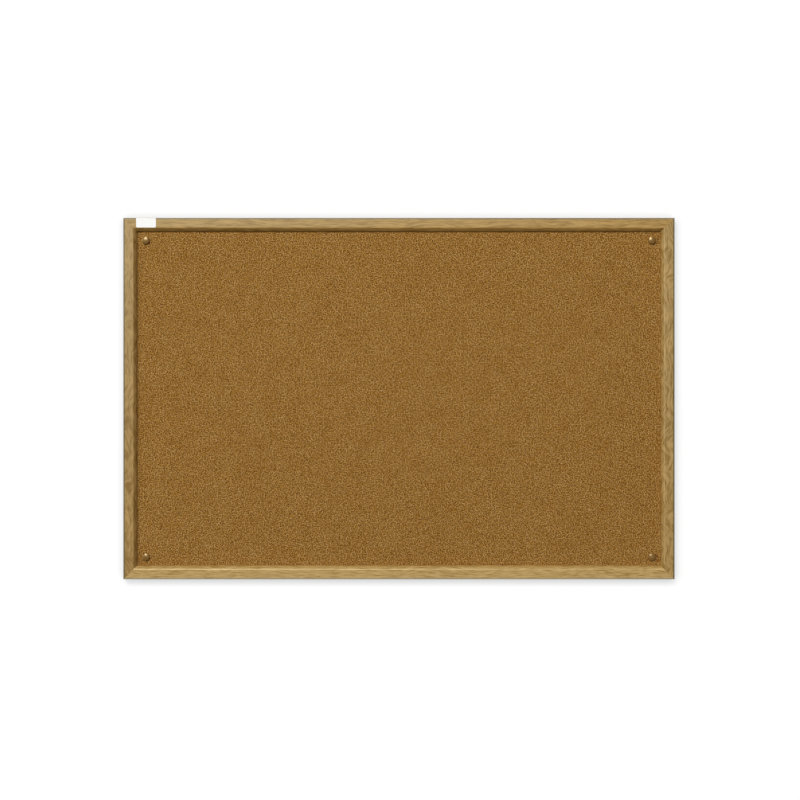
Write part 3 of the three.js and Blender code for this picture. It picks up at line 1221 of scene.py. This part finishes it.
@dataclass
class Label:
    """The small white sticker on the top rail, which laps over the rounded outer edge."""

    paper: Material

    def build(self) -> None:
        """Builds the sticker from its CAD solid."""
        piece = finished_piece("label_sticker", merged_copy("label"), [self.paper])
        put_in_place(piece, "label", "board")


@dataclass
class Studio:
    """The white wall behind the board, the lamps and the camera.

    The main lamp is square, and stands above the front and a little to its left. Three lamps without
    falloff stand to the left, in front and behind. An azimuth is the angle to the right of straight in
    front, and a share is how bright a lamp makes a white surface, from 0 to 1.

    Attributes:
        key_distance: How far the main lamp stands from the board.
        ambient: The strength of the faint light from all sides.
        wall_glow: How bright the wall shines in the contact shade of the board.
        wall_fade: How much brighter it shines away from the board.
        wall_grey: The colour of its paint, which takes the lamps' light and shadow.
        wall_reach: How far the contact shade reaches.
        wall_gap: How far the wall stands behind the back, so that the two don't lie in one plane.
        view_distance: How far the camera stands from the plane of the back.
        aside: How far it stands to the right of the middle.
        lower: How far it stands under the middle.
    """

    key_share: float = 0.71
    key_azimuth: float = math.radians(-12)
    key_elevation: float = math.radians(26)
    key_distance: float = 7.0
    key_side: float = 2.4
    side_share: float = 0.15
    side_azimuth: float = math.radians(-50)
    side_elevation: float = math.radians(6)
    front_share: float = 0.04
    front_azimuth: float = 0.0
    front_elevation: float = math.radians(5)
    back_share: float = 0.6
    back_azimuth: float = math.radians(160)
    back_elevation: float = math.radians(25)
    sun_spread: float = math.radians(20)
    ambient: float = 0.1
    wall_glow: float = 0.405
    wall_fade: float = 0.445
    wall_grey: float = 0.19
    wall_reach: float = 18 * MM
    wall_gap: float = 0.5 * MM
    wall_side: float = 6.0
    view_distance: float = 3.1032
    aside: float = 1.7 * MM
    lower: float = 2.3 * MM
    lens_mm: float = 85
    sensor_mm: float = 36

    def build(self) -> None:
        """Builds the wall, the lamps, the world and the camera."""
        bpy.context.scene.view_settings.view_transform = "Standard"
        self.build_wall()
        self.add_softbox("key_light", self.toward(self.key_azimuth, self.key_elevation))
        suns = (
            ("side_light", self.side_azimuth, self.side_elevation, self.side_share),
            ("front_light", self.front_azimuth, self.front_elevation, self.front_share),
            ("back_light", self.back_azimuth, self.back_elevation, self.back_share),
        )
        for name, azimuth, elevation, share in suns:
            self.add_sun(name, self.toward(azimuth, elevation), share)
        self.build_world()
        self.build_camera()

    @staticmethod
    def toward(azimuth: float, elevation: float) -> Vector:
        """The direction from the board to a lamp.

        Args:
            azimuth: The angle to the right of straight in front.
            elevation: The angle over the level.

        Returns:
            The direction, one unit long.
        """
        level = math.cos(elevation)
        return Vector((math.sin(azimuth) * level, -math.cos(azimuth) * level, math.sin(elevation)))

    def build_wall(self) -> None:
        """Builds the wall, which shows its shadow from the front and is clear from behind."""
        material, tree = new_material("wall_white")
        seen = add_node(tree, "LightPath")
        rays = self.seen_rays(tree, seen, seen.outputs["Is Glossy Ray"])
        behind = add_node(tree, "NewGeometry").outputs["Backfacing"]
        front = add_node(tree, "Math", {0: 1.0, 1: behind}, operation="SUBTRACT").outputs[0]
        shown = add_node(tree, "Math", {0: rays, 1: front}, operation="MULTIPLY").outputs[0]
        # The lamps alone leave too thin a shadow on the white, so the contact shade adds to it.
        near = add_node(tree, "AmbientOcclusion", {"Distance": self.wall_reach}).outputs["AO"]
        brightest = self.wall_glow + self.wall_fade
        strength = add_node(tree, "MapRange", {0: near, 3: self.wall_glow, 4: brightest}).outputs[0]
        paint = add_node(tree, "BsdfDiffuse", {"Color": (self.wall_grey,) * 3 + (1,)})
        glow = add_node(tree, "Emission", {"Strength": strength})
        lit = add_node(tree, "AddShader", {0: paint.outputs[0], 1: glow.outputs[0]})
        clear = add_node(tree, "BsdfTransparent")
        mixed = add_node(tree, "MixShader", {0: shown, 1: clear.outputs[0], 2: lit.outputs[0]})
        add_node(tree, "OutputMaterial", {"Surface": mixed.outputs[0]})
        mesh = bmesh.new()
        upright = Matrix.Translation((0, self.wall_gap, 0)) @ Matrix.Rotation(math.pi / 2, 4, "X")
        bmesh.ops.create_grid(mesh, x_segments=1, y_segments=1, size=self.wall_side / 2, matrix=upright)
        data = bpy.data.meshes.new("wall")
        mesh.to_mesh(data)
        mesh.free()
        data.materials.append(material)
        wall = bpy.data.objects.new("wall", data)
        bpy.context.scene.collection.objects.link(wall)

    @staticmethod
    def seen_rays(tree: NodeTree, seen: Node, gloss: NodeSocket) -> NodeSocket:
        """Picks the rays that show the white: those to the eye, in gloss and through glass.

        Args:
            tree: The wall's or the world's node tree.
            seen: The node that knows the kind of a ray.
            gloss: Which of the rays in gloss count.

        Returns:
            1 for such a ray and 0 for the others.
        """
        rays = add_node(tree, "Math", {0: seen.outputs["Is Camera Ray"], 1: gloss}).outputs[0]
        through = seen.outputs["Is Transmission Ray"]
        return add_node(tree, "Math", {0: rays, 1: through}, use_clamp=True).outputs[0]

    @staticmethod
    def hang(name: str, lamp: Light, place: Vector) -> None:
        """Puts a lamp in its place and turns it to the middle of the board.

        Args:
            name: The lamp's name.
            lamp: The lamp.
            place: Its place, or for a lamp without falloff the direction to it.
        """
        holder = bpy.data.objects.new(name, lamp)
        holder.location = place
        holder.rotation_euler = place.to_track_quat("Z", "Y").to_euler()
        holder.visible_camera = False
        bpy.context.scene.collection.objects.link(holder)

    def add_sun(self, name: str, toward: Vector, share: float) -> None:
        """Adds a lamp without falloff.

        Args:
            name: The lamp's name.
            toward: The direction from the board to the lamp.
            share: How bright it makes a white surface that faces front or back, from 0 to 1.
        """
        lamp = bpy.data.lights.new(name, "SUN")
        lamp.energy = share * math.pi / abs(toward.y)
        lamp.angle = self.sun_spread
        self.hang(name, lamp, toward)

    def add_softbox(self, name: str, toward: Vector) -> None:
        """Adds the square main lamp, whose light falls off a little down the board.

        Args:
            name: The lamp's name.
            toward: The direction from the board to the lamp.
        """
        lamp = bpy.data.lights.new(name, "AREA")
        lamp.size = self.key_side
        lamp.energy = self.key_share * math.pi**2 * self.key_distance**2 / abs(toward.y)
        self.hang(name, lamp, toward * self.key_distance)

    def build_world(self) -> None:
        """Lights all sides faintly, and shows white round the board."""
        world = bpy.data.worlds.new("studio")
        bpy.context.scene.world = world
        world.use_nodes = True
        tree = world.node_tree
        tree.nodes.clear()
        seen = add_node(tree, "LightPath")
        direction = add_node(tree, "SeparateXYZ", {0: add_node(tree, "TexCoord").outputs["Generated"]})
        # Gloss shows the white that stands behind the board. In front of it the room is dim.
        behind = add_node(tree, "MapRange", {0: direction.outputs[1], 1: -0.1, 2: 0.2}).outputs[0]
        gloss = add_node(
            tree, "Math", {0: seen.outputs["Is Glossy Ray"], 1: behind}, operation="MULTIPLY"
        ).outputs[0]
        rays = self.seen_rays(tree, seen, gloss)
        strength = add_node(tree, "MapRange", {0: rays, 3: self.ambient, 4: 1.0}).outputs[0]
        sky = add_node(tree, "Background", {"Color": (1, 1, 1, 1), "Strength": strength})
        add_node(tree, "OutputWorld", {"Surface": sky.outputs[0]})

    def build_camera(self) -> None:
        """Looks at the board square on, as the photograph does."""
        lens = bpy.data.cameras.new("camera")
        lens.lens = self.lens_mm
        lens.sensor_width = self.sensor_mm
        camera = bpy.data.objects.new("camera", lens)
        camera.location = (self.aside, -self.view_distance, -self.lower)
        camera.rotation_euler = (math.pi / 2, 0, 0)
        bpy.context.scene.collection.objects.link(camera)
        bpy.context.scene.camera = camera


@dataclass
class CorkBoard:
    """The whole board, piece by piece. The foil differs from member to member in tone and grain,
    and part of the difference in tone is painted light.
    """

    # Each foil's tone is set member by member, and part of the difference is painted light: the bottom
    # rail's lighter tone makes up for the sheen that the lamps lay on the top rail. The second colour is
    # the painted shade on the member's outer edge.
    top_foil: OakFoil = OakFoil(
        "oak_foil_satin_top_rail", "#b18a4b", "#6e654f", Figure.STRAIGHT, paler=0.18, patch=3.7
    )
    right_foil: OakFoil = OakFoil(
        "oak_foil_satin_right_stile", "#b28f56", "#564a35", Figure.CATHEDRAL, paler=0.0, patch=11.2
    )
    bottom_foil: OakFoil = OakFoil(
        "oak_foil_satin_bottom_rail", "#c9a66a", "#b0a07d", Figure.STRAIGHT, paler=0.0, patch=23.9
    )
    left_foil: OakFoil = OakFoil(
        "oak_foil_satin_left_stile", "#aa854c", "#4e4230", Figure.CATHEDRAL, paler=-0.15, patch=31.4
    )

    def build(self) -> None:
        """Builds the frame, the panel, the fixings, the hardware behind and the label."""
        fibreboard = RawFibreboard().make()
        steel = ZincPlate().make()
        plastic = TanPlastic().make()
        half_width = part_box("right_stile")[1].x
        half_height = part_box("top_rail")[1].z
        members = [
            ("top_rail", Vector((0, 0, 1)), half_height, self.top_foil),
            ("right_stile", Vector((1, 0, 0)), half_width, self.right_foil),
            ("bottom_rail", Vector((0, 0, -1)), half_height, self.bottom_foil),
            ("left_stile", Vector((-1, 0, 0)), half_width, self.left_foil),
        ]
        for node, outward, reach, finish in members:
            FrameMember(node, outward, finish, fibreboard, reach).build()
        Panel().build()
        for place in ("top_left", "top_right", "bottom_left", "bottom_right"):
            WallFixing(place, plastic, steel).build()
        BackHardware(steel).build()
        Label(LabelPaper().make()).build()


def main() -> None:
    """Builds the board and the studio."""
    logging.basicConfig(level=logging.INFO, format="%(name)s: %(message)s")
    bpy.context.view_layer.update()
    CorkBoard().build()
    Studio().build()


if __name__ == "__main__":
    main()
